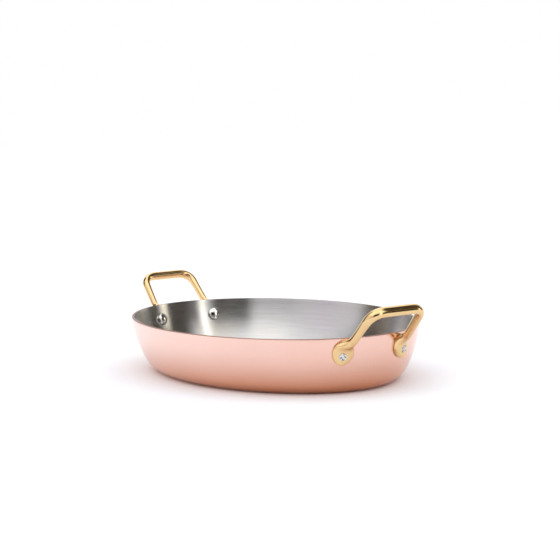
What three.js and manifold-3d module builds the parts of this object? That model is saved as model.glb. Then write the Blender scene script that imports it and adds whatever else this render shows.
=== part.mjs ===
// An oval copper pan with a stainless steel lining and two riveted handles of cast brass.
// Millimetres, +Z up. The origin is the middle of the flat base, on the table.
// +X points along the pan at the right handle, and the front of the pan is -Y.

import * as THREE from 'three';
import { mergeVertices } from 'three/addons/utils/BufferGeometryUtils.js';
import Module from 'manifold-3d';

const wasm = await Module();
wasm.setup();

// The body
const rimLength = 320; // outside of the rim, from handle to handle
const rimWidth = 223; // outside of the rim, across the handles
const panHeight = 49; // from the table to the rim
const baseInset = 29; // from the rim in to the edge of the flat base, seen from above
const cornerRadius = 19.6; // outside of the round corner between base and wall
const wallRadius = 100; // outside of the wall's long curve from that corner up to the rim
const copperThickness = 1.7;
const steelThickness = 0.25;
const bondGap = 0.05; // stands for the bond between copper and steel

// The handles
const handleReach = 31.4; // from the end of the rim out to the middle of the grip
const handleRise = 23.9; // from the rim up to the middle of the grip
const gripWidth = 50; // between the middles of the legs, where they meet the grip
const gripCut = 12.8; // how far the bend at each end of the grip reaches along both its sides
const elbowReach = 4.4; // from the end of the rim out to the elbow, where a leg turns up
const elbowDrop = 2.8; // from the rim down to the elbow
const elbowSpread = 54.6; // between the middles of the two elbows
const elbowCut = 8; // how far the bend at an elbow reaches along both its sides
const gripDepth = 7.8; // section of grip and legs, square to the loop
const gripThickness = 5.6; // section of grip and legs, in the plane of the loop
const footWidth = 18.2;
const footThickness = 4; // from the copper to the front of a foot
const footTip = 8.3; // from the rivet down to the lower end of a foot
const footTop = 9; // from the rivet up to where the middle line leaves the wall
const footCut = 4; // how far the bend there reaches along both its sides
const footLean = 8; // degrees by which a foot leans towards the middle of the handle
const footWidest = 11.5; // from the lower end of a foot to its widest place
const neckEnd = 24; // from the lower end of a foot to where the leg has the grip's section
const footEdge = 1.8; // rounding of a foot's front edge at its lower end

// The rivets
const rivetSpacing = 58.8; // between the two rivets of a handle, on the copper
const rivetHeight = 34.7; // from the table, on the copper
const shankDiameter = 5.2;
const headDiameter = 11.4; // the domed head on the lining
const headHeight = 3.4;
const headRim = 0.6; // height of the head's straight edge below its dome
const tailDiameter = 6.5; // the peened end, in a countersink in the foot
const tailDepth = 1.4; // depth of the countersink
const tailCrown = 0.5; // how far the peened end stands proud of the foot

// Clearances
const seatGap = 0.2; // between a handle's foot or a rivet's head and what it sits on
const rivetFit = 0.15; // around a rivet, all along its hole

// Fineness
const ovalSteps = 88; // facets round the pan
const cornerSteps = 5; // facets over the round corner
const wallSteps = 4; // facets up the wall
const rivetSteps = 24; // facets round a rivet
const headSteps = 6; // facets over a rivet's dome
const sectionSteps = 16; // facets round a handle
const stationStep = 3.2; // distance between a handle's sections

const halfLength = rimLength / 2;
const halfWidth = rimWidth / 2;
const wallThickness = copperThickness + bondGap + steelThickness;

// Seen in a slice, the wall is an arc that runs from the rim into the arc of the round corner.
// A lean is how far a face of the wall looks down from the horizontal. It grows from the rim down.
const cornerToRim = Math.hypot(baseInset, panHeight - cornerRadius);
const arcsApart = wallRadius - cornerRadius;
const rimTurn = (wallRadius ** 2 + cornerToRim ** 2 - arcsApart ** 2) / (2 * wallRadius * cornerToRim);
const rimLean = Math.acos(rimTurn) - Math.atan2(panHeight - cornerRadius, baseInset);
// The middle of the wall's arc, as an inset from the rim and a height
const arcInset = wallRadius * Math.cos(rimLean);
const arcHeight = panHeight + wallRadius * Math.sin(rimLean);
const cornerLean = Math.atan2(arcHeight - cornerRadius, arcInset - baseInset);

// The direction straight out of the rim's ellipse, seen from above.
function outward(angle) {
  const across = new THREE.Vector3(halfWidth * Math.cos(angle), halfLength * Math.sin(angle), 0);
  return across.normalize();
}

// A point that lies a given inset inside the rim's ellipse, at height z.
function ovalPoint(angle, inset, z) {
  const onRim = new THREE.Vector3(halfLength * Math.cos(angle), halfWidth * Math.sin(angle), z);
  return onRim.addScaledVector(outward(angle), -inset);
}

function ovalRing(inset, z) {
  const ring = [];
  for (let i = 0; i < ovalSteps; i++) {
    ring.push(ovalPoint((i / ovalSteps) * 2 * Math.PI, inset, z));
  }
  return ring;
}

// The lean of a face of the wall at height z, and how far in from the rim the face is there
function leanAt(z, depth) {
  return Math.asin((arcHeight - z) / (wallRadius - depth));
}

function insetAt(lean, depth) {
  return arcInset - (wallRadius - depth) * Math.cos(lean);
}

// The rings of a face of the wall, from the edge of the base up to the rim. The face lies
// a given depth below the outside of the copper, measured through the metal.
function faceRings(depth) {
  const radius = cornerRadius - depth;
  const rings = [];
  for (let i = 0; i <= cornerSteps; i++) {
    const turn = (i / cornerSteps) * (Math.PI / 2 - cornerLean);
    const inset = baseInset - radius * Math.sin(turn);
    rings.push(ovalRing(inset, cornerRadius - radius * Math.cos(turn)));
  }
  const topLean = leanAt(panHeight, depth);
  for (let i = 1; i < wallSteps; i++) {
    const lean = THREE.MathUtils.lerp(cornerLean, topLean, i / wallSteps);
    rings.push(ovalRing(insetAt(lean, depth), arcHeight - (wallRadius - depth) * Math.sin(lean)));
  }
  rings.push(ovalRing(insetAt(topLean, depth), panHeight));
  return rings;
}

// A closed skin over a row of rings, with the first and the last ring closed by a fan.
function skin(rings) {
  const count = rings[0].length;
  const positions = rings.flat().flatMap((point) => point.toArray());
  const triangles = [];
  for (let j = 0; j + 1 < rings.length; j++) {
    for (let i = 0; i < count; i++) {
      const a = j * count + i;
      const b = j * count + ((i + 1) % count);
      triangles.push([a, b, b + count], [a, b + count, a + count]);
    }
  }
  const lastStart = positions.length / 3 - count;
  for (const [ring, start, flip] of [[rings[0], 0, true], [rings.at(-1), lastStart, false]]) {
    const middle = ring.reduce((sum, point) => sum.add(point), new THREE.Vector3()).divideScalar(count);
    const hub = positions.length / 3;
    positions.push(...middle.toArray());
    for (let i = 0; i < count; i++) {
      const a = start + i;
      const b = start + ((i + 1) % count);
      triangles.push(flip ? [b, a, hub] : [a, b, hub]);
    }
  }
  const geometry = new THREE.BufferGeometry();
  geometry.setAttribute('position', new THREE.Float32BufferAttribute(positions, 3));
  geometry.setIndex(triangles.flat());
  return geometry;
}

// Solids that are cut by other solids
function toSolid(geometry) {
  const bare = geometry.clone();
  bare.deleteAttribute('normal');
  bare.deleteAttribute('uv');
  const merged = mergeVertices(bare, 1e-5);
  const mesh = new wasm.Mesh({
    numProp: 3,
    vertProperties: new Float32Array(merged.attributes.position.array),
    triVerts: new Uint32Array(merged.index.array),
  });
  return new wasm.Manifold(mesh);
}

function fromSolid(solid) {
  const mesh = solid.getMesh();
  const geometry = new THREE.BufferGeometry();
  geometry.setAttribute('position', new THREE.Float32BufferAttribute(mesh.vertProperties, 3));
  geometry.setIndex(Array.from(mesh.triVerts));
  const flat = geometry.toNonIndexed();
  flat.computeVertexNormals();
  return flat;
}

function cut(geometry, tools) {
  return fromSolid(tools.reduce((solid, tool) => solid.subtract(toSolid(tool)), toSolid(geometry)));
}

// A revolved body along its own +Y, from [radius, height] pairs.
function revolve(outline) {
  return new THREE.LatheGeometry(outline.map(([r, y]) => new THREE.Vector2(r, y)), rivetSteps);
}

// Where a rivet goes through the copper: the point, and the wall's directions there.
// side is 1 for the back rivet of the right handle and -1 for its front rivet.
function rivetSeat(side) {
  const lean = leanAt(rivetHeight, 0);
  const inset = insetAt(lean, 0);
  let angle = 0;
  for (let i = 0; i < 20; i++) {
    angle = Math.asin((rivetSpacing / 2 + inset * outward(angle).y) / halfWidth);
  }
  angle *= side;
  const flatOut = outward(angle);
  const out = flatOut.clone().multiplyScalar(Math.cos(lean)).setZ(-Math.sin(lean));
  const up = flatOut.clone().multiplyScalar(Math.sin(lean)).setZ(Math.cos(lean));
  return { point: ovalPoint(angle, inset, rivetHeight), out, up };
}

function placeAtRivet(geometry, side) {
  const seat = rivetSeat(side);
  const turn = new THREE.Quaternion().setFromUnitVectors(new THREE.Vector3(0, 1, 0), seat.out);
  return geometry.clone().applyQuaternion(turn).translate(...seat.point.toArray());
}

// A rivet along +Y, which points out of the pan. Height 0 is the outside of the copper.
// The head's flat underside clears the hollow of the curved lining by the seat gap.
const endCurve = (halfWidth * halfWidth) / halfLength;
const headRise = endCurve - Math.sqrt(endCurve * endCurve - (headDiameter * headDiameter) / 4);
const headSeat = -(wallThickness + seatGap + headRise);

function rivetOutline(grow, below, above) {
  const shank = shankDiameter / 2 + grow;
  const tail = tailDiameter / 2 + grow;
  return [
    ...below,
    [shank, footThickness - tailDepth],
    [tail, footThickness],
    ...above,
  ];
}

function rivet() {
  const head = [];
  for (let i = 0; i <= headSteps; i++) {
    const turn = (i / headSteps) * (Math.PI / 2);
    const height = headSeat - headRim - (headHeight - headRim) * Math.cos(turn);
    head.push([(headDiameter / 2) * Math.sin(turn), height]);
  }
  head.push([headDiameter / 2, headSeat], [shankDiameter / 2, headSeat]);
  const crown = [
    [tailDiameter * 0.36, footThickness + tailCrown * 0.75],
    [0, footThickness + tailCrown],
  ];
  return revolve(rivetOutline(0, head, crown));
}

// The space that a rivet needs in what it goes through.
function rivetHole() {
  const start = headSeat - seatGap;
  const end = footThickness + tailCrown + gripDepth;
  const below = [[0, start], [shankDiameter / 2 + rivetFit, start]];
  const above = [[tailDiameter / 2 + rivetFit, end], [0, end]];
  return revolve(rivetOutline(rivetFit, below, above));
}

// The same space without the countersink, for the copper and the lining.
function shankHole() {
  const radius = shankDiameter / 2 + rivetFit;
  const reach = footThickness + wallThickness;
  return revolve([[0, -reach], [radius, -reach], [radius, reach], [0, reach]]);
}

// The body: both layers follow the same profile at their own depth in the wall.
function layer(outerDepth, innerDepth) {
  const rings = [...faceRings(outerDepth), ...faceRings(innerDepth).reverse()];
  const holes = [];
  for (const side of [1, -1]) {
    const hole = placeAtRivet(shankHole(), side);
    holes.push(hole, hole.clone().rotateZ(Math.PI));
  }
  return cut(skin(rings), holes);
}

// The middle line of the right handle runs up the copper through its back rivet, leaves the
// wall below the rim, turns up at the elbow, goes round the grip, and comes down to the front
// rivet in the same way.
const backSeat = rivetSeat(1);
const leanAngle = THREE.MathUtils.degToRad(footLean);
const footRun = backSeat.up.clone().multiplyScalar(Math.cos(leanAngle));
footRun.addScaledVector(new THREE.Vector3().crossVectors(backSeat.out, backSeat.up), Math.sin(leanAngle));
const footStart = backSeat.point.clone().addScaledVector(footRun, -footTip);
const footEnd = backSeat.point.clone().addScaledVector(footRun, footTop);
const elbow = new THREE.Vector3(halfLength + elbowReach, elbowSpread / 2, panHeight - elbowDrop);
const legTop = new THREE.Vector3(halfLength + handleReach, gripWidth / 2, panHeight + handleRise);
const gripMiddle = legTop.clone().setY(0);

// A corner of the middle line, rounded over a given length of both its sides.
function bend(before, corner, after, length) {
  const start = corner.clone().addScaledVector(before.clone().sub(corner).normalize(), length);
  const end = corner.clone().addScaledVector(after.clone().sub(corner).normalize(), length);
  return new THREE.QuadraticBezierCurve3(start, corner, end);
}

function handleLine() {
  const room = footEnd.distanceTo(elbow) / (footCut + elbowCut);
  const fit = Math.min(1, room * 0.98);
  const footBend = bend(footStart, footEnd, elbow, footCut * fit);
  const elbowBend = bend(footEnd, elbow, legTop, elbowCut * fit);
  const gripBend = bend(elbow, legTop, gripMiddle, gripCut);
  const line = new THREE.CurvePath();
  line.add(new THREE.LineCurve3(footStart, footBend.v0));
  line.add(footBend);
  line.add(new THREE.LineCurve3(footBend.v2, elbowBend.v0));
  line.add(elbowBend);
  line.add(new THREE.LineCurve3(elbowBend.v2, gripBend.v0));
  line.add(gripBend);
  line.add(new THREE.LineCurve3(gripBend.v2, gripMiddle));
  return line;
}

// Sizes of the handle's section at a distance s from the lower end of the foot. A foot is a
// teardrop: round at its lower end, widest just above the rivet and drawn in over the neck.
function sectionAt(s) {
  const neck = THREE.MathUtils.smoothstep(s, footWidest, neckEnd);
  const tip = Math.sqrt(1 - Math.max(0, 1 - s / footWidest) ** 2);
  const edge = Math.cbrt(1 - Math.max(0, 1 - s / footEdge) ** 3);
  return {
    halfAcross: (THREE.MathUtils.lerp(footWidth, gripThickness, neck) / 2) * tip,
    halfDeep: THREE.MathUtils.lerp(footThickness, gripDepth / 2, neck) * edge,
    power: THREE.MathUtils.lerp(3, 2.3, neck),
    neck,
  };
}

// One section of the handle, a rounded oblong square to the middle line.
function sectionRing(line, length, s) {
  const middle = line.getPointAt(s / length);
  const along = line.getTangentAt(s / length);
  const { halfAcross, halfDeep, power, neck } = sectionAt(s);
  const rise = legTop.clone().sub(elbow);
  const loopNormal = new THREE.Vector3(rise.z, 0, -rise.x).normalize();
  const deep = backSeat.out.clone().lerp(loopNormal, neck);
  deep.addScaledVector(along, -deep.dot(along)).normalize();
  const across = new THREE.Vector3().crossVectors(deep, along);
  const ring = [];
  for (let i = 0; i < sectionSteps; i++) {
    const turn = (i / sectionSteps) * 2 * Math.PI;
    const c = Math.cos(turn);
    const d = Math.sin(turn);
    const u = halfAcross * Math.sign(c) * Math.abs(c) ** (2 / power);
    const v = halfDeep * Math.sign(d) * Math.abs(d) ** (2 / power);
    ring.push(middle.clone().addScaledVector(across, u).addScaledVector(deep, v));
  }
  return ring;
}

function handleRings() {
  const line = handleLine();
  const length = line.getLength();
  const tipSteps = 5;
  const stations = [];
  for (let i = 0; i < tipSteps; i++) {
    stations.push(footWidest * (1 - Math.cos(((i + 0.3) / tipSteps) * (Math.PI / 2))));
  }
  const steps = Math.round((length - footWidest) / stationStep);
  for (let i = 0; i <= steps; i++) {
    stations.push(footWidest + (i / steps) * (length - footWidest));
  }
  const half = stations.map((s) => sectionRing(line, length, s));
  const mirrored = half.slice(0, -1).map((ring) => ring.map((point) => point.clone().setY(-point.y)));
  return [...half, ...mirrored.reverse()];
}

// The handle is cast as one bar, and the backs of its feet are ground to sit on the copper.
function handle() {
  const wallBlock = skin(faceRings(-seatGap));
  const holes = [1, -1].map((side) => placeAtRivet(rivetHole(), side));
  return cut(skin(handleRings()), [wallBlock, ...holes]);
}

const copper = new THREE.MeshStandardMaterial({ color: 0xe9b49d, roughness: 0.22, metalness: 1 });
const steel = new THREE.MeshStandardMaterial({ color: 0xc3bfbc, roughness: 0.34, metalness: 1 });
const brass = new THREE.MeshStandardMaterial({ color: 0xe6bf78, roughness: 0.16, metalness: 1 });
const rivetSteel = new THREE.MeshStandardMaterial({ color: 0xcfcdca, roughness: 0.14, metalness: 1 });

function namedMesh(name, geometry, material) {
  const mesh = new THREE.Mesh(geometry, material);
  mesh.name = name;
  return mesh;
}

// One end of the pan: a handle and its two rivets.
function panEnd(name, frontSide) {
  const end = new THREE.Group();
  end.add(namedMesh(`${name}_handle`, handle(), brass));
  for (const side of [1, -1]) {
    const place = side === frontSide ? 'front' : 'back';
    const seat = rivetSeat(side);
    const mesh = namedMesh(`${name}_${place}_rivet`, rivet(), rivetSteel);
    mesh.position.copy(seat.point);
    mesh.quaternion.setFromUnitVectors(new THREE.Vector3(0, 1, 0), seat.out);
    end.add(mesh);
  }
  return end;
}

const pan = new THREE.Group();
pan.add(namedMesh('copper_shell', layer(0, copperThickness), copper));
pan.add(namedMesh('steel_lining', layer(copperThickness + bondGap, wallThickness), steel));
pan.add(panEnd('right', -1));
const leftEnd = panEnd('left', 1);
leftEnd.rotation.z = Math.PI;
pan.add(leftEnd);

export default pan;
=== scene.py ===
"""An oval copper pan with a brushed steel lining and riveted brass handles, on a pale studio floor."""

import math

import bmesh
import bpy
from bpy.props import FloatProperty, FloatVectorProperty, IntProperty, PointerProperty
from mathutils import Matrix, Vector, noise


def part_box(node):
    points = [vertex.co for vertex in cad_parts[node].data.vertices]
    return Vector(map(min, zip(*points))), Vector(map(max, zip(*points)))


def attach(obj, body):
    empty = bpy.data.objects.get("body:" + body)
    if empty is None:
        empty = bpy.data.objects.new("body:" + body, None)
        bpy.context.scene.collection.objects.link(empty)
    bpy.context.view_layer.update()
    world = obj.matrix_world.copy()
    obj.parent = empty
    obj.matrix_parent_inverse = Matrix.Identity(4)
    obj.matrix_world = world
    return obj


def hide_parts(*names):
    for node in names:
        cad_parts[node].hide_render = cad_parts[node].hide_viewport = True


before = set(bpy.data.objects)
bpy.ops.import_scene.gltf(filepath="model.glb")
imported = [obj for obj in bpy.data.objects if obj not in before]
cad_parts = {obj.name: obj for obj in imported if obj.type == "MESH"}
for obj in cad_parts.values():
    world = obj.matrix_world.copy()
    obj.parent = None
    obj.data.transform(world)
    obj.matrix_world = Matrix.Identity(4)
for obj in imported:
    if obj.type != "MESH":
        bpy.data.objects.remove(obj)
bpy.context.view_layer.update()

bl_info = {
    "name": "Oval copper pan",
    "version": (1, 0, 0),
    "blender": (4, 5, 0),
    "location": "3D View > Sidebar > Pan",
    "description": "Builds an oval copper pan with a steel lining and brass handles",
    "category": "Add Mesh",
}

BODY = "root"
MM = 0.001

SHELL_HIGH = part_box("copper_shell")[1]

# Rounds of the searches for the rim's point that faces a place, and for a rivet's place on the wall.
NEAREST_ROUNDS = 6
SEAT_ROUNDS = 20

# The rounding of the lining's edge, as a share of its thickness.
LINING_ROUND = 0.6
# Facets over the rounded edge of a layer's rim, and over the curve of a rivet's end.
EDGE_STEPS = 4
DOME_STEPS = 16
# Sections over a foot's round tip. The first lies a part of a step in, as one at its end is a point.
TIP_STEPS = 14
TIP_START = 0.25
# The power of the curve that a section follows: 2 is an ellipse, and more is squarer. A foot's front
# thins towards its end by such a curve too.
FOOT_POWER = 3.0
BAR_POWER = 2.0
END_POWER = 3
# How many times its bend's reach the grip's swell starts before the bend.
SWELL_START = 2
# The share of the straight between two bends that the bends may use up.
BEND_ROOM = 0.98

# A peened end where it meets the foot: its radius and its height, as shares of its greatest.
TAIL_FOOT = 0.9
TAIL_EDGE = 0.3
# Hammer marks to the metre, and the steps in their pattern from one rivet to the next.
HAMMER_SCALE = 700
HAMMER_STEPS = (7.0, 3.0)
# The mesh attribute that marks a peened end.
PEENED = "peened"

# The height over which the copper changes from its low colour, painted shade that darkens it towards the
# base, to its own, and how sharply it does.
COPPER_FADE = 40 * MM
COPPER_FADE_POWER = 2.1
# Painted shade deepens the copper towards the pan's right end from this share of the way there, and the
# copper's own patches deepen it from this strength of the pattern. Each of the two takes this share of the
# deeper colour.
DEEP_FROM = 0.2
PATCHES_FROM = 0.35
END_SHARE = 0.7
PATCHES_SHARE = 0.9
# The height of the shell's top edge that is left rougher and darkened with painted shade where it meets the
# lining.
RIM_EDGE = 0.6 * MM
# How many times faster a polishing pattern changes up the wall than over the flat floor, and the
# copper's patches with height than along the pan.
WALL_PATTERN = 6.0
PATCHES_UP = 1.5
# The roughness of each metal where it is smoothest. Its patterns add to it.
COPPER_SMOOTH = 0.13
STEEL_SMOOTH = 0.16
BRASS_SMOOTH = 0.105
RIVET_SMOOTH = 0.08
# The strength of the pattern from which painted shade darkens a peened end in spots like hammer dents, and
# how sharply those spots begin.
DENTS_FROM = 0.42
DENTS_CONTRAST = 5.0
# A channel's share in the brass where it is deepest, and in the darker parts of the two steels.
BRASS_DEEP = (0.93, 0.86, 0.76)
STEEL_DARK = 0.72
RIVET_DARK = 0.85

# A Mix node keeps its colour sockets behind those for numbers and for vectors.
MIX_COLOURS_IN = slice(6, 8)
MIX_COLOUR_OUT = 2

# The light of the white background, and of the plain sky that lights what isn't polished. The sky is
# brighter to both sides of the camera: from and to so many degrees, with the softness of its edges.
WHITE = (1.0, 1.0, 1.0)
SKY_LIGHT = (1.0, 1.0, 1.03)
SKY_SIDE_LIGHT = (1.42, 1.42, 1.46)
SKY_SIDES = (45, 160, 35)
# The studio's panels, which polished metal mirrors in front of the white background: where each one
# stands, in degrees to the camera's right and up from the table, each pair of them with the softness
# of its edges, and its light. A later panel hides an earlier one.
STUDIO_PANELS = (
    # white ceiling
    ((-200, 200, 5), (26, 200, 16), (1.5, 1.5, 1.5)),
    # its brightest part, to the camera's left
    ((-72, -16, 14), (24, 76, 10), (1.7, 1.68, 1.62)),
    # its warm part, to the camera's right
    ((-14, 60, 16), (22, 60, 12), (1.46, 1.40, 1.26)),
    # greyer wall beside the camera
    ((-66, -22, 8), (-20, 26, 12), (0.80, 0.79, 0.81)),
    # pale wall on the left
    ((-108, -56, 20), (-20, 34, 12), (1.03, 0.97, 1.03)),
    # dark cloth round the camera
    ((-30, 28, 11), (-20, 38, 11), (0.012, 0.01, 0.007)),
    # dark room to its right
    ((38, 110, 6), (-20, 34, 12), (0.05, 0.035, 0.02)),
    # dark wall above it
    ((52, 155, 20), (15, 78, 16), (0.05, 0.04, 0.02)),
    # upright strip light between them
    ((28.5, 39, 2.5), (-20, 70, 6), (2.8, 2.7, 2.4)),
    # wider strip, further round
    ((90, 107, 5), (-20, 21, 8), (2.5, 2.3, 1.8)),
    # dark corner beyond it
    ((107, 134, 4), (-20, 40, 10), (0.12, 0.10, 0.06)),
    # dark edge of the left wall
    ((-139, -105, 5), (-20, 64, 14), (0.01, 0.01, 0.01)),
)


def length_property(name, description, default):
    return FloatProperty(name=name, description=description, default=default, unit="LENGTH", precision=5)


def colour_property(name, description, default):
    return FloatVectorProperty(
        name=name, description=description, default=default, size=3, subtype="COLOR", min=0.0, max=1.0
    )


class PanBodySizes(bpy.types.PropertyGroup):
    """Sizes of the copper shell and its lining."""

    base_inset: length_property("Base inset", "From the rim in to the edge of the flat base", 29 * MM)
    corner_radius: length_property("Corner radius", "Outside of the round corner above the base", 19.6 * MM)
    wall_radius: length_property("Wall radius", "Outside of the wall's long curve up to the rim", 100 * MM)
    copper: length_property("Copper", "Thickness of the copper", 1.7 * MM)
    rim_round: length_property("Rim rounding", "Rounding of the rim's outer edge", 0.5 * MM)
    bond_gap: length_property("Bond gap", "Between the copper and the lining", 0.05 * MM)
    steel: length_property("Steel", "Thickness of the lining", 0.25 * MM)
    steps_round: IntProperty(name="Steps round", description="Facets round the pan", default=288, min=24)
    corner_steps: IntProperty(name="Corner steps", description="Facets over the corner", default=18, min=3)
    wall_steps: IntProperty(name="Wall steps", description="Facets up the wall", default=12, min=1)
    floor_steps: IntProperty(name="Floor steps", description="Rings over the flat floor", default=5, min=1)


class HandleSizes(bpy.types.PropertyGroup):
    """Sizes of a cast handle."""

    reach: length_property("Reach", "From the end of the rim out to the middle of the grip", 31.4 * MM)
    rise: length_property("Rise", "From the rim up to the middle of the grip", 23.9 * MM)
    grip_width: length_property("Grip width", "Between the legs where they meet the grip", 50 * MM)
    grip_depth: length_property("Grip depth", "Section of the grip, square to the loop", 9.2 * MM)
    grip_thickness: length_property(
        "Grip thickness", "Section of the grip, in the plane of the loop", 7.4 * MM
    )
    grip_sink: length_property("Grip sink", "From the bar's middle line in to the grip's", 1.1 * MM)
    grip_cut: length_property("Grip bend", "Reach of the bends at the ends of the grip", 12.8 * MM)
    elbow_reach: length_property("Elbow reach", "From the end of the rim out to an elbow", 4.4 * MM)
    elbow_drop: length_property("Elbow drop", "From the rim down to an elbow", 2.8 * MM)
    elbow_spread: length_property("Elbow spread", "Between the two elbows", 54.6 * MM)
    elbow_cut: length_property("Elbow bend", "Reach of the bend at an elbow", 6 * MM)
    depth: length_property("Bar depth", "Section of the bar, square to the loop", 7.7 * MM)
    thickness: length_property("Bar thickness", "Section of the bar, in the plane of the loop", 5.5 * MM)
    foot_width: length_property("Foot width", "Width of a foot", 18.2 * MM)
    foot_thickness: length_property("Foot thickness", "From the copper to the front of a foot", 4 * MM)
    foot_tip: length_property("Foot tip", "From the rivet down to the end of a foot", 8.3 * MM)
    foot_top: length_property("Foot top", "From the rivet up to where the bar leaves the wall", 7.5 * MM)
    foot_cut: length_property("Foot bend", "Reach of the bend where the bar leaves the wall", 6 * MM)
    foot_lean: FloatProperty(
        name="Foot lean", description="Lean of a foot towards the handle's middle",
        default=math.radians(20), subtype="ANGLE",
    )
    foot_widest: length_property("Foot widest", "From the end of a foot to its widest place", 11.5 * MM)
    neck_end: length_property("Neck end", "From the end of a foot to where the bar is plain", 27 * MM)
    foot_edge: length_property("Foot edge", "Rounding of a foot's front edge", 1.8 * MM)
    seat_gap: length_property("Seat gap", "Between a foot and the copper", 0.2 * MM)
    section_steps: IntProperty(name="Section steps", description="Facets round the bar", default=40, min=8)
    stations: IntProperty(name="Stations", description="Sections along half a handle", default=96, min=16)


class RivetSizes(bpy.types.PropertyGroup):
    """Sizes of a rivet."""

    spacing: length_property("Spacing", "Between the two rivets of a handle", 58.8 * MM)
    height: length_property("Height", "From the table, on the copper", 34.7 * MM)
    shank: length_property("Shank", "Diameter of the shank", 5.2 * MM)
    head: length_property("Head", "Diameter of the domed head", 11.4 * MM)
    head_height: length_property("Head height", "Height of the domed head", 3.4 * MM)
    head_rim: length_property("Head rim", "Height of the head's straight edge", 0.6 * MM)
    tail: length_property("Tail", "Diameter of the peened end", 6.5 * MM)
    tail_depth: length_property("Tail depth", "Depth of the countersink", 1.4 * MM)
    tail_crown: length_property("Tail crown", "Height of the peened end above the foot", 0.5 * MM)
    peening: length_property("Peening", "Depth of the hammer marks on the peened end", 0.35 * MM)
    steps: IntProperty(name="Steps", description="Facets round a rivet", default=64, min=12)


class FinishColours(bpy.types.PropertyGroup):
    """Colours of the metals."""

    copper: colour_property("Copper", "Polished copper", (0.93, 0.66, 0.58))
    # A deeper copper, used both for real patches and for painted shade towards the pan's right end.
    copper_patches_and_painted_shade: colour_property("Deep copper", "Copper in patches and at the right end", (0.82, 0.52, 0.43))
    # Painted shade: a darker, redder copper towards the base and on the underside, standing in for the pan's
    # shadow mirrored in the wall.
    copper_painted_shade_low: colour_property("Low copper", "Copper near the base", (0.68, 0.27, 0.11))
    # Painted shade: a dark line along the shell's top edge, where it meets the lining.
    copper_rim_painted_shade: colour_property("Copper rim", "The shell's dull cut edge", (0.30, 0.16, 0.12))
    steel: colour_property("Steel", "Brushed steel", (0.67, 0.66, 0.66))
    brass: colour_property("Brass", "Polished brass", (0.81, 0.58, 0.305))
    rivet: colour_property("Rivet", "Polished rivet steel", (0.80, 0.79, 0.78))
    # Painted shade: dark spots that stand in for shade in the hammer dents on a peened end.
    rivet_dent_shade: colour_property("Rivet dent", "Hammer marks on a rivet's peened end", (0.16, 0.14, 0.13))
    floor: colour_property("Floor", "Studio floor, as it lights the pan", (0.84, 0.84, 0.84))
    floor_seen: colour_property("Floor seen", "Studio floor, as the camera sees it", (0.97, 0.985, 1.0))


class StageSettings(bpy.types.PropertyGroup):
    """The camera and the floor."""

    azimuth: FloatProperty(
        name="Azimuth", description="Camera round the pan", default=math.radians(57.85), subtype="ANGLE"
    )
    elevation: FloatProperty(
        name="Elevation", description="Camera above the table", default=math.radians(9.212), subtype="ANGLE"
    )
    distance: length_property("Distance", "From the middle of the base to the camera", 1614.0 * MM)
    yaw: FloatProperty(
        name="Yaw", description="Aim to the side of the base", default=math.radians(-0.304), subtype="ANGLE"
    )
    pitch: FloatProperty(
        name="Pitch", description="Aim above the base", default=math.radians(2.883), subtype="ANGLE"
    )
    roll: FloatProperty(
        name="Roll", description="Turn of the picture", default=math.radians(-1.752), subtype="ANGLE"
    )
    lens: FloatProperty(name="Lens", description="Focal length on a 36 mm frame, in mm", default=116.21)
    floor_size: length_property("Floor size", "Side of the studio floor", 12.0)


def lerp(a, b, t):
    return a + (b - a) * t


def smoothstep(x, low, high):
    t = min(1.0, max(0.0, (x - low) / (high - low)))
    return t * t * (3 - 2 * t)


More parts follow.
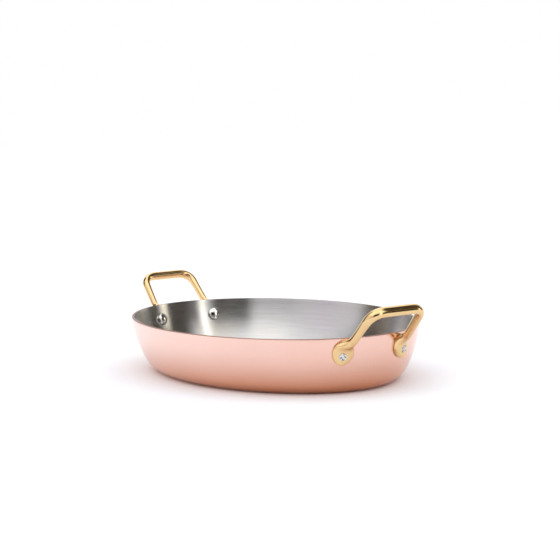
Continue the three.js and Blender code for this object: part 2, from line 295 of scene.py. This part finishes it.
class PanForm:
    """The shape that the shell, the lining, the handles and the rivets share."""

    def __init__(self, sizes):
        self.half_length = SHELL_HIGH.x
        self.half_width = SHELL_HIGH.y
        self.height = SHELL_HIGH.z
        self.base_inset = sizes.base_inset
        self.corner = sizes.corner_radius
        self.wall = sizes.wall_radius
        above = self.height - self.corner
        to_rim = math.hypot(self.base_inset, above)
        turn = (self.wall**2 + to_rim**2 - (self.wall - self.corner) ** 2) / (2 * self.wall * to_rim)
        rim_lean = math.acos(turn) - math.atan2(above, self.base_inset)
        self.arc_inset = self.wall * math.cos(rim_lean)
        self.arc_height = self.height + self.wall * math.sin(rim_lean)
        self.corner_lean = math.atan2(self.arc_height - self.corner, self.arc_inset - self.base_inset)

    def outward(self, angle):
        return Vector(
            (self.half_width * math.cos(angle), self.half_length * math.sin(angle), 0)
        ).normalized()

    def point(self, angle, inset, z):
        on_rim = Vector((self.half_length * math.cos(angle), self.half_width * math.sin(angle), z))
        return on_rim - self.outward(angle) * inset

    def ring(self, count, inset, z, shrink):
        ring = []
        for i in range(count):
            point = self.point(2 * math.pi * i / count, inset, z)
            ring.append(Vector((point.x * shrink, point.y * shrink, z)))
        return ring

    def nearest(self, x, y):
        """The angle of the rim's point that faces a point in the plane."""
        angle = math.atan2(y * self.half_length, x * self.half_width)
        for _ in range(NEAREST_ROUNDS):
            ahead = Vector((-self.half_length * math.sin(angle), self.half_width * math.cos(angle)))
            on_rim = Vector((self.half_length * math.cos(angle), self.half_width * math.sin(angle)))
            miss = Vector((x, y)) - on_rim
            slope = -ahead.length_squared - miss.dot(on_rim)
            angle -= miss.dot(ahead) / slope
        return angle

    def lean_at(self, z, depth=0.0):
        """How far a face of the wall looks down from the horizontal, at a height."""
        return math.asin((self.arc_height - z) / (self.wall - depth))

    def inset_at(self, lean, depth=0.0):
        return self.arc_inset - (self.wall - depth) * math.cos(lean)

    def wall_out(self, angle, lean):
        flat = self.outward(angle)
        return Vector((flat.x * math.cos(lean), flat.y * math.cos(lean), -math.sin(lean)))

    def wall_up(self, angle, lean):
        flat = self.outward(angle)
        return Vector((flat.x * math.sin(lean), flat.y * math.sin(lean), math.cos(lean)))

    def keep_off_wall(self, point, gap):
        """Moves a point that lies in the wall, or inside it, out to its face."""
        angle = self.nearest(point.x, point.y)
        out = self.outward(angle)
        rim = self.point(angle, 0, point.z)
        inset = -(point - rim).dot(out)
        away = Vector((inset - self.arc_inset, point.z - self.arc_height))
        short = self.wall + gap - away.length
        if short > 0 and point.z < self.height:
            return point + self.wall_out(angle, math.atan2(-away.y, -away.x)) * short
        return point


def rivet_seat(form, rivets, side):
    """Where a rivet of the right handle goes through the copper, and the wall's directions there."""
    lean = form.lean_at(rivets.height)
    inset = form.inset_at(lean)
    angle = 0.0
    for _ in range(SEAT_ROUNDS):
        angle = math.asin((rivets.spacing / 2 + inset * form.outward(angle).y) / form.half_width)
    angle *= side
    return form.point(angle, inset, rivets.height), form.wall_out(angle, lean), form.wall_up(angle, lean)


def next_row(bm, row):
    """Extrudes a closed row of vertices and gives the new row in the same order."""
    count = len(row)
    edges = [bm.edges.get((row[i], row[(i + 1) % count])) for i in range(count)]
    made = bmesh.ops.extrude_edge_only(bm, edges=edges)
    fresh = {item for item in made["geom"] if isinstance(item, bmesh.types.BMVert)}
    return [
        next(edge.other_vert(vert) for edge in vert.link_edges if edge.other_vert(vert) in fresh)
        for vert in row
    ]


def skin_over(bm, rings):
    """Draws a skin through a row of rings, each a closed loop of points, and gives its end rows."""
    first = bmesh.ops.create_circle(bm, radius=1.0, segments=len(rings[0]))["verts"]
    row = first
    for number, points in enumerate(rings):
        if number:
            row = next_row(bm, row)
        for vert, point in zip(row, points):
            vert.co = point
    return first, row


def close_row(bm, row):
    count = len(row)
    edges = [bm.edges.get((row[i], row[(i + 1) % count])) for i in range(count)]
    bmesh.ops.contextual_create(bm, geom=edges)


def make_piece(name, bm, material, sharp_angle):
    """Turns a bmesh into a piece of the pan, which rides on the pan's one body."""
    bmesh.ops.recalc_face_normals(bm, faces=bm.faces)
    mesh = bpy.data.meshes.new(name)
    bm.to_mesh(mesh)
    bm.free()
    mesh.shade_smooth()
    mesh.set_sharp_from_angle(angle=sharp_angle)
    mesh.materials.append(material)
    piece = bpy.data.objects.new(name, mesh)
    bpy.context.scene.collection.objects.link(piece)
    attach(piece, BODY)
    return piece


class Value:
    """A number in a shader. Arithmetic on it adds Math nodes."""

    def __init__(self, tree, socket):
        self.tree = tree
        self.socket = socket

    def math(self, operation, *others):
        node = self.tree.nodes.new("ShaderNodeMath")
        node.operation = operation
        for number, item in enumerate((self, *others)):
            if isinstance(item, Value):
                self.tree.links.new(item.socket, node.inputs[number])
            else:
                node.inputs[number].default_value = item
        return Value(self.tree, node.outputs[0])

    def __add__(self, other):
        return self.math("ADD", other)

    def __mul__(self, other):
        return self.math("MULTIPLY", other)

    def __sub__(self, other):
        return self.math("SUBTRACT", other)

    def __rsub__(self, other):
        return self * -1.0 + other

    def __truediv__(self, other):
        return self.math("DIVIDE", other)

    def __pow__(self, other):
        return self.math("POWER", other)

    def root(self):
        return self.math("SQRT")

    def clamped(self):
        held = self.math("MAXIMUM", 0.0)
        return held.math("MINIMUM", 1.0)

    __radd__ = __add__
    __rmul__ = __mul__


class Shading:
    """A tree of shader nodes, and the ways to add to it."""

    def __init__(self, owner):
        owner.use_nodes = True
        self.tree = owner.node_tree

    def node(self, kind, settings=None, **inputs):
        node = self.tree.nodes.new(kind)
        for key, value in (settings or {}).items():
            setattr(node, key, value)
        for key, value in inputs.items():
            self.feed(node.inputs[key.replace("_", " ")], value)
        return node

    def feed(self, socket, value):
        if isinstance(value, Value):
            self.tree.links.new(value.socket, socket)
        elif isinstance(value, bpy.types.NodeSocket):
            self.tree.links.new(value, socket)
        else:
            socket.default_value = value

    def value(self, socket):
        return Value(self.tree, socket)

    def coordinates(self, kind):
        split = self.node("ShaderNodeSeparateXYZ", Vector=self.node("ShaderNodeTexCoord").outputs[kind])
        return [self.value(split.outputs[axis]) for axis in "XYZ"]

    def ray_is(self, *kinds):
        """1 for rays of these kinds, and 0 for the others."""
        rays = self.node("ShaderNodeLightPath")
        return sum(self.value(rays.outputs[f"Is {kind} Ray"]) for kind in kinds).clamped()

    def mix(self, factor, first, second):
        made = self.node("ShaderNodeMix", {"data_type": "RGBA"}, Factor=factor)
        for socket, colour in zip(made.inputs[MIX_COLOURS_IN], (first, second)):
            self.feed(socket, colour if isinstance(colour, bpy.types.NodeSocket) else (*colour, 1.0))
        return made.outputs[MIX_COLOUR_OUT]


class Finish(Shading):
    """One material of the pan or its stage."""

    def __init__(self, name, metallic=1.0, **plain):
        self.material = bpy.data.materials.new(name)
        super().__init__(self.material)
        self.shader = self.tree.nodes["Principled BSDF"]
        self.shader.inputs["Metallic"].default_value = metallic
        for socket, value in plain.items():
            self.shader.inputs[socket.replace("_", " ")].default_value = value

    def set(self, socket, value):
        self.feed(self.shader.inputs[socket], value)

    def noise(self, vector, scale, detail=2.0, roughness=0.5):
        made = self.node(
            "ShaderNodeTexNoise", Vector=vector, Scale=scale, Detail=detail, Roughness=roughness
        )
        return self.value(made.outputs["Fac"])

    def vector(self, x, y, z):
        return self.node("ShaderNodeCombineXYZ", X=x, Y=y, Z=z).outputs[0]

    def bump(self, height, depth, strength=1.0):
        made = self.node("ShaderNodeBump", Height=height, Distance=depth, Strength=strength)
        self.set("Normal", made.outputs["Normal"])


def polishing(finish, form, round_scale, across_scale, roughness=0.5):
    """A pattern of fine lines that run round the pan."""
    x, y, z = finish.coordinates("Object")
    u = x / form.half_length
    v = y / form.half_width
    # The added number keeps the middle of the floor from a division by nothing.
    radius = (u * u + v * v + 1e-6).root()
    across = radius * form.half_width + z * WALL_PATTERN
    place = finish.vector(u / radius * round_scale, v / radius * round_scale, across * across_scale)
    return finish.noise(place, scale=1.0, detail=3.0, roughness=roughness)


def copper_finish(colours, form):
    finish = Finish("polished_copper")
    x, y, z = finish.coordinates("Object")
    lines = polishing(finish, form, round_scale=2.0, across_scale=900.0)
    cloud = finish.noise(finish.vector(x, y, z * PATCHES_UP), scale=14.0, detail=3.0)
    # Painted shade: the copper turns darker and redder towards the base.
    painted_shade_near_base = (1.0 - z / COPPER_FADE).clamped() ** COPPER_FADE_POWER
    # Painted shade: the copper darker towards the pan's right end. The patches are the copper's own tone.
    painted_shade_at_end = ((x / form.half_length - DEEP_FROM) / (1.0 - DEEP_FROM)).clamped()
    deep = (cloud - PATCHES_FROM) * PATCHES_SHARE + painted_shade_at_end * END_SHARE
    copper = finish.mix(deep, colours.copper, colours.copper_patches_and_painted_shade)
    copper = finish.mix(painted_shade_near_base, copper, colours.copper_painted_shade_low)
    # Painted shade along the rim's edge, which is also left rougher.
    on_rim = ((z - form.height + RIM_EDGE) / (RIM_EDGE / 2)).clamped()
    finish.set("Base Color", finish.mix(on_rim, copper, colours.copper_rim_painted_shade))
    finish.set("Roughness", cloud * 0.10 + lines * 0.06 + on_rim * 0.2 + COPPER_SMOOTH)
    finish.bump(lines, depth=0.012 * MM)
    return finish.material


def steel_finish(colours, form):
    finish = Finish("brushed_steel", Anisotropic=0.85, Anisotropic_Rotation=0.25)
    fine = polishing(finish, form, round_scale=3.0, across_scale=2600.0, roughness=0.6)
    streaks = polishing(finish, form, round_scale=4.0, across_scale=110.0, roughness=0.6)
    dark = [channel * STEEL_DARK for channel in colours.steel]
    finish.set("Base Color", finish.mix(fine * 0.3 + streaks * 0.7, dark, colours.steel))
    finish.set("Roughness", streaks * 0.10 + fine * 0.06 + STEEL_SMOOTH)
    finish.bump(fine, depth=0.006 * MM)
    return finish.material


def brass_finish(colours):
    finish = Finish("polished_brass")
    place = finish.vector(*finish.coordinates("Object"))
    swell = finish.noise(place, scale=60.0)
    pits = finish.noise(place, scale=900.0)
    deep = [channel * share for channel, share in zip(colours.brass, BRASS_DEEP)]
    finish.set("Base Color", finish.mix(swell * 0.8, colours.brass, deep))
    finish.set("Roughness", swell * 0.08 + pits * 0.02 + BRASS_SMOOTH)
    finish.bump(swell + pits * 0.008, depth=0.25 * MM, strength=0.5)
    return finish.material


def rivet_finish(colours):
    finish = Finish("rivet_steel")
    place = finish.vector(*finish.coordinates("Object"))
    smear = finish.noise(place, scale=400.0, detail=3.0)
    grain = finish.noise(place, scale=3000.0)
    # Painted shade: dark spots like shaded hammer dents, over a pattern that is not the one that dents the
    # mesh.
    painted_dent_shade = ((finish.noise(place, scale=800.0) - DENTS_FROM) * DENTS_CONTRAST).clamped()
    peened = finish.value(finish.node("ShaderNodeAttribute", {"attribute_name": PEENED}).outputs["Fac"])
    dark = [channel * RIVET_DARK for channel in colours.rivet]
    steel = finish.mix(smear, dark, colours.rivet)
    finish.set("Base Color", finish.mix(peened * painted_dent_shade, steel, colours.rivet_dent_shade))
    finish.set("Roughness", smear * 0.12 + RIVET_SMOOTH)
    finish.bump(grain, depth=0.01 * MM)
    return finish.material


def layer_rings(form, sizes, outer_depth, inner_depth, rim_round, round_outside):
    """The rings of one layer of the wall, from the middle of its underside to that of its floor."""

    def face(depth):
        radius = form.corner - depth
        rings = []
        for step in range(1, sizes.floor_steps + 1):
            rings.append((form.base_inset, depth, step / (sizes.floor_steps + 1)))
        for step in range(sizes.corner_steps + 1):
            turn = step / sizes.corner_steps * (math.pi / 2 - form.corner_lean)
            inset = form.base_inset - radius * math.sin(turn)
            rings.append((inset, form.corner - radius * math.cos(turn), 1.0))
        rounding = rim_round if round_outside == (depth == outer_depth) else 0.0
        top_lean = form.lean_at(form.height - rounding, depth)
        for step in range(1, sizes.wall_steps + 1):
            lean = lerp(form.corner_lean, top_lean, step / sizes.wall_steps)
            z = form.arc_height - (form.wall - depth) * math.sin(lean)
            rings.append((form.inset_at(lean, depth), z, 1.0))
        return rings

    outer, inner = face(outer_depth), face(inner_depth)
    inset, low, _ = outer[-1] if round_outside else inner[-1]
    inward = 1 if round_outside else -1
    edge = []
    for step in range(1, EDGE_STEPS + 1):
        turn = step / EDGE_STEPS * math.pi / 2
        z = low + (form.height - low) * math.sin(turn)
        edge.append((inset + inward * rim_round * (1 - math.cos(turn)), z, 1.0))
    profile = outer + edge[::inward] + inner[::-1]
    return [form.ring(sizes.steps_round, *entry) for entry in profile]


def make_layer(name, form, sizes, material, outer_depth, inner_depth, rim_round, round_outside):
    bm = bmesh.new()
    rings = layer_rings(form, sizes, outer_depth, inner_depth, rim_round, round_outside)
    for row in skin_over(bm, rings):
        close_row(bm, row)
    return make_piece(name, bm, material, sharp_angle=math.radians(50))


def rounded_line(corners, cuts, steps=24):
    """Points along a line through corners, with each bend rounded over a length of both its sides."""
    points = [corners[0]]
    for before, corner, after, cut in zip(corners, corners[1:], corners[2:], cuts):
        start = corner + (before - corner).normalized() * cut
        end = corner + (after - corner).normalized() * cut
        for step in range(steps + 1):
            t = step / steps
            points.append(start.lerp(corner, t).lerp(corner.lerp(end, t), t))
    points.append(corners[-1])
    return points


class Course:
    """A line of points that can be asked for a place and a direction at a distance along it."""

    def __init__(self, points):
        self.points = points
        self.marks = [0.0]
        for a, b in zip(points, points[1:]):
            self.marks.append(self.marks[-1] + (b - a).length)
        self.length = self.marks[-1]

    def at(self, distance):
        distance = min(max(distance, 0.0), self.length)
        for number in range(1, len(self.marks)):
            if self.marks[number] >= distance:
                break
        span = self.marks[number] - self.marks[number - 1]
        t = (distance - self.marks[number - 1]) / span
        return self.points[number - 1].lerp(self.points[number], t)

    def along(self, distance, reach=0.8 * MM):
        return (self.at(distance + reach) - self.at(distance - reach)).normalized()


def handle_section(handle, s):
    """Half widths, squareness and neck share of the bar's section at a distance s from its end."""
    neck = smoothstep(s, handle.foot_widest, handle.neck_end)
    tip = math.sqrt(1 - max(0.0, 1 - s / handle.foot_widest) ** 2)
    edge = (1 - max(0.0, 1 - s / handle.foot_edge) ** END_POWER) ** (1 / END_POWER)
    half_across = lerp(handle.foot_width, handle.thickness, neck) / 2 * tip
    half_deep = lerp(handle.foot_thickness, handle.depth / 2, neck) * edge
    return half_across, half_deep, lerp(FOOT_POWER, BAR_POWER, neck), neck


def handle_course(form, handle, rivets):
    """The line of half a handle, from the end of a foot to the middle of the grip.

    It comes with the way out of the wall at the foot, and with the way up a leg.
    """
    seat, out, up = rivet_seat(form, rivets, 1)
    run = up * math.cos(handle.foot_lean) + out.cross(up) * math.sin(handle.foot_lean)
    start = seat - run * handle.foot_tip
    foot_end = seat + run * handle.foot_top
    elbow = Vector(
        (form.half_length + handle.elbow_reach, handle.elbow_spread / 2, form.height - handle.elbow_drop)
    )
    top = Vector((form.half_length + handle.reach, handle.grip_width / 2, form.height + handle.rise))
    middle = Vector((top.x, 0, top.z))
    room = (elbow - foot_end).length / (handle.foot_cut + handle.elbow_cut)
    fit = min(1.0, room * BEND_ROOM)
    cuts = (handle.foot_cut * fit, handle.elbow_cut * fit, handle.grip_cut)
    return Course(rounded_line([start, foot_end, elbow, top, middle], cuts)), out, top - elbow


def handle_stations(handle, length):
    """Distances along half a handle at which it has a section, closer together over the foot's tip."""
    stations = []
    for i in range(TIP_STEPS):
        turn = (i + TIP_START) / TIP_STEPS * math.pi / 2
        stations.append(handle.foot_widest * (1 - math.cos(turn)))
    for i in range(handle.stations + 1):
        stations.append(lerp(handle.foot_widest, length, i / handle.stations))
    return stations


def section_points(count, power, across, deep):
    """Points round a section, from the ways to its side and to its front, each half its width long."""
    points = []
    for i in range(count):
        turn = 2 * math.pi * i / count
        cos, sin = math.cos(turn), math.sin(turn)
        aside = math.copysign(abs(cos) ** (2 / power), cos)
        ahead = math.copysign(abs(sin) ** (2 / power), sin)
        points.append(across * aside + deep * ahead)
    return points


def handle_rings(form, handle, rivets):
    """The rings of the right handle's skin, from the end of one foot to the end of the other."""
    course, out, rise = handle_course(form, handle, rivets)
    loop_normal = Vector((rise.z, 0, -rise.x)).normalized()
    bend = course.length - handle.grip_width / 2
    half = []
    for s in handle_stations(handle, course.length):
        half_across, half_deep, power, neck = handle_section(handle, s)
        swell = smoothstep(s, bend - handle.grip_cut * SWELL_START, bend + handle.grip_cut)
        half_across += swell * (handle.grip_thickness - handle.thickness) / 2
        half_deep += swell * (handle.grip_depth - handle.depth) / 2
        centre = course.at(s) - rise.normalized() * swell * handle.grip_sink
        along = course.along(s) if s < course.length else Vector((0, -1, 0))
        deep = out.lerp(loop_normal, neck)
        deep = (deep - along * deep.dot(along)).normalized()
        across = deep.cross(along)
        section = section_points(handle.section_steps, power, across * half_across, deep * half_deep)
        half.append([form.keep_off_wall(centre + point, handle.seat_gap) for point in section])
    mirrored = [[Vector((p.x, -p.y, p.z)) for p in ring] for ring in half[:-1]]
    return half + mirrored[::-1]


def make_handle(name, form, handle, rivets, material, turned):
    bm = bmesh.new()
    for row in skin_over(bm, handle_rings(form, handle, rivets)):
        close_row(bm, row)
    if turned:
        bmesh.ops.rotate(bm, verts=bm.verts, matrix=Matrix.Rotation(math.pi, 3, "Z"))
    return make_piece(name, bm, material, sharp_angle=math.radians(55))


def rivet_outline(form, body, handle, rivets):
    """Points of a rivet's half section, from the top of its head to its peened end."""
    end_curve = form.half_width**2 / form.half_length
    head_rise = end_curve - math.sqrt(end_curve**2 - rivets.head**2 / 4)
    wall = body.copper + body.bond_gap + body.steel
    seat = -(wall + handle.seat_gap + head_rise)
    dome = rivets.head_height - rivets.head_rim
    outline = []
    for step in range(DOME_STEPS + 1):
        turn = step / DOME_STEPS * math.pi / 2
        outline.append((rivets.head / 2 * math.sin(turn), seat - rivets.head_rim - dome * math.cos(turn)))
    shank = rivets.shank / 2
    face = handle.foot_thickness
    outline += [(rivets.head / 2, seat), (shank, seat), (shank, face - rivets.tail_depth)]
    outline.append((rivets.tail / 2 * TAIL_FOOT, face))
    for step in range(DOME_STEPS):
        turn = step / DOME_STEPS * math.pi / 2
        rise = lerp(TAIL_EDGE, 1.0, math.sin(turn))
        outline.append((rivets.tail / 2 * math.cos(turn), face + rivets.tail_crown * rise))
    outline.append((0.0, face + rivets.tail_crown))
    return outline


def make_rivet(name, form, body, handle, rivets, material, side, turned):
    bm = bmesh.new()
    outline = rivet_outline(form, body, handle, rivets)
    verts = [bm.verts.new((radius, 0, height)) for radius, height in outline]
    edges = [bm.edges.new(pair) for pair in zip(verts, verts[1:])]
    bmesh.ops.spin(
        bm, geom=verts + edges, axis=(0, 0, 1), cent=(0, 0, 0), steps=rivets.steps,
        angle=2 * math.pi, use_merge=True,
    )
    bmesh.ops.remove_doubles(bm, verts=bm.verts, dist=1e-7)
    peened = bm.verts.layers.float.new(PEENED)
    own_marks = Vector((HAMMER_STEPS[0] * side, HAMMER_STEPS[1] * turned, 0))
    for vert in bm.verts:
        proud = vert.co.z - handle.foot_thickness
        if proud > 0:
            mark = noise.noise(vert.co * HAMMER_SCALE + own_marks)
            vert.co.z += rivets.peening * mark * min(1.0, proud / (TAIL_EDGE * rivets.tail_crown))
            vert[peened] = 1.0
    seat, out, up = rivet_seat(form, rivets, side)
    turn = out.to_track_quat("Z", "Y").to_matrix().to_4x4()
    place = Matrix.Translation(seat) @ turn
    if turned:
        place = Matrix.Rotation(math.pi, 4, "Z") @ place
    bmesh.ops.transform(bm, matrix=place, verts=bm.verts)
    return make_piece(name, bm, material, sharp_angle=math.radians(40))


class PAN_OT_copper_shell(bpy.types.Operator):
    """Makes the polished copper shell"""

    bl_idname = "pan.copper_shell"
    bl_label = "Copper shell"

    def execute(self, context):
        sizes = context.scene.pan_body
        form = PanForm(sizes)
        material = copper_finish(context.scene.pan_colours, form)
        piece = make_layer(
            "copper_shell_polished", form, sizes, material,
            outer_depth=0.0, inner_depth=sizes.copper, rim_round=sizes.rim_round, round_outside=True,
        )
        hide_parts("copper_shell")
        return {"FINISHED"}


class PAN_OT_steel_lining(bpy.types.Operator):
    """Makes the brushed steel lining"""

    bl_idname = "pan.steel_lining"
    bl_label = "Steel lining"

    def execute(self, context):
        sizes = context.scene.pan_body
        form = PanForm(sizes)
        material = steel_finish(context.scene.pan_colours, form)
        outer = sizes.copper + sizes.bond_gap
        piece = make_layer(
            "steel_lining_brushed", form, sizes, material,
            outer_depth=outer, inner_depth=outer + sizes.steel,
            rim_round=sizes.steel * LINING_ROUND, round_outside=False,
        )
        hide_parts("steel_lining")
        return {"FINISHED"}


class PAN_OT_handles(bpy.types.Operator):
    """Makes the two cast brass handles"""

    bl_idname = "pan.handles"
    bl_label = "Handles"

    def execute(self, context):
        scene = context.scene
        form = PanForm(scene.pan_body)
        material = brass_finish(scene.pan_colours)
        for end in ("right", "left"):
            piece = make_handle(
                f"{end}_handle_cast", form, scene.pan_handle, scene.pan_rivet, material, turned=end == "left"
            )
            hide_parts(f"{end}_handle")
        return {"FINISHED"}


class PAN_OT_rivets(bpy.types.Operator):
    """Makes the four rivets"""

    bl_idname = "pan.rivets"
    bl_label = "Rivets"

    def execute(self, context):
        scene = context.scene
        form = PanForm(scene.pan_body)
        material = rivet_finish(scene.pan_colours)
        for end, front_side in (("right", -1), ("left", 1)):
            for side in (1, -1):
                place = "front" if side == front_side else "back"
                piece = make_rivet(
                    f"{end}_{place}_rivet_peened", form, scene.pan_body, scene.pan_handle, scene.pan_rivet,
                    material, side, turned=end == "left",
                )
                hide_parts(f"{end}_{place}_rivet")
        return {"FINISHED"}


def direction(azimuth, elevation):
    """The way from the pan to a place that lies so far round it from the front, and so far up."""
    level = math.cos(elevation)
    return Vector((math.sin(azimuth) * level, -math.cos(azimuth) * level, math.sin(elevation)))


def make_camera(stage):
    """Aims a camera at the pan from the side and height of the picture."""
    place = direction(stage.azimuth, stage.elevation)
    turn = stage.azimuth + stage.yaw
    back = direction(turn, stage.elevation - stage.pitch)
    right = Vector((math.cos(turn), math.sin(turn), 0))
    up = back.cross(right)
    rolled_right = right * math.cos(stage.roll) + up * math.sin(stage.roll)
    rolled_up = up * math.cos(stage.roll) - right * math.sin(stage.roll)
    data = bpy.data.cameras.new("camera")
    data.sensor_width = 36.0
    data.lens = stage.lens
    data.clip_start, data.clip_end = 0.05, 40.0
    camera = bpy.data.objects.new("camera", data)
    bpy.context.scene.collection.objects.link(camera)
    turned = Matrix((rolled_right, rolled_up, back)).transposed().to_4x4()
    camera.matrix_world = Matrix.Translation(place * stage.distance) @ turned
    bpy.context.scene.camera = camera


def make_floor(stage, colours):
    bm = bmesh.new()
    bmesh.ops.create_grid(bm, x_segments=1, y_segments=1, size=stage.floor_size / 2)
    mesh = bpy.data.meshes.new("floor")
    bm.to_mesh(mesh)
    bm.free()
    floor = bpy.data.objects.new("floor", mesh)
    bpy.context.scene.collection.objects.link(floor)
    finish = Finish("studio_floor", metallic=0.0, Roughness=1.0, Specular_IOR_Level=0.0)
    seen = finish.ray_is("Camera", "Glossy", "Transmission")
    finish.set("Base Color", finish.mix(seen, colours.floor, colours.floor_seen))
    mesh.materials.append(finish.material)


def between(value, low, high, soft):
    """1 between two bounds, falling to 0 at them over a soft edge."""
    return ((value - low) / soft).clamped() * ((high - value) / soft).clamped()


def make_world(stage):
    """A white background with the studio's panels, which only mirrors show, and a plain sky."""
    world = bpy.data.worlds.new("studio")
    bpy.context.scene.world = world
    studio = Shading(world)
    x, y, z = studio.coordinates("Generated")
    ahead = x * math.sin(stage.azimuth) - y * math.cos(stage.azimuth)
    aside = x * math.cos(stage.azimuth) + y * math.sin(stage.azimuth)
    to_right = aside.math("ARCTAN2", ahead) * math.degrees(1)
    upward = z.math("ARCSINE") * math.degrees(1)
    mirrored = WHITE
    for sideways, heights, panel in STUDIO_PANELS:
        mirrored = studio.mix(between(to_right, *sideways) * between(upward, *heights), mirrored, panel)
    sky = studio.mix(between(to_right.math("ABSOLUTE"), *SKY_SIDES), SKY_LIGHT, SKY_SIDE_LIGHT)
    seen = studio.mix(studio.ray_is("Camera"), mirrored, WHITE)
    light = studio.mix(studio.ray_is("Camera", "Glossy", "Transmission"), sky, seen)
    studio.feed(studio.tree.nodes["Background"].inputs["Color"], light)


class PAN_OT_stage(bpy.types.Operator):
    """Makes the camera, the floor and the studio round them"""

    bl_idname = "pan.stage"
    bl_label = "Stage"

    def execute(self, context):
        scene = context.scene
        scene.view_settings.view_transform = "Standard"
        make_camera(scene.pan_stage)
        make_floor(scene.pan_stage, scene.pan_colours)
        make_world(scene.pan_stage)
        return {"FINISHED"}


class PAN_PT_sidebar(bpy.types.Panel):
    """Lists the pan's pieces in the sidebar"""

    bl_idname = "PAN_PT_sidebar"
    bl_label = "Oval copper pan"
    bl_space_type = "VIEW_3D"
    bl_region_type = "UI"
    bl_category = "Pan"

    def draw(self, context):
        for operator in OPERATORS:
            self.layout.operator(operator.bl_idname)
        for name in GROUPS:
            box = self.layout.box()
            settings = getattr(context.scene, name)
            for key in settings.__annotations__:
                box.prop(settings, key)


OPERATORS = (PAN_OT_stage, PAN_OT_copper_shell, PAN_OT_steel_lining, PAN_OT_handles, PAN_OT_rivets)
GROUPS = {
    "pan_body": PanBodySizes,
    "pan_handle": HandleSizes,
    "pan_rivet": RivetSizes,
    "pan_colours": FinishColours,
    "pan_stage": StageSettings,
}


def register():
    for name, group in GROUPS.items():
        bpy.utils.register_class(group)
        setattr(bpy.types.Scene, name, PointerProperty(type=group))
    for item in (*OPERATORS, PAN_PT_sidebar):
        bpy.utils.register_class(item)


def unregister():
    for item in (PAN_PT_sidebar, *reversed(OPERATORS)):
        bpy.utils.unregister_class(item)
    for name, group in GROUPS.items():
        delattr(bpy.types.Scene, name)
        bpy.utils.unregister_class(group)


def main():
    register()
    bpy.ops.pan.stage()
    bpy.ops.pan.copper_shell()
    bpy.ops.pan.steel_lining()
    bpy.ops.pan.handles()
    bpy.ops.pan.rivets()


if __name__ == "__main__":
    main()
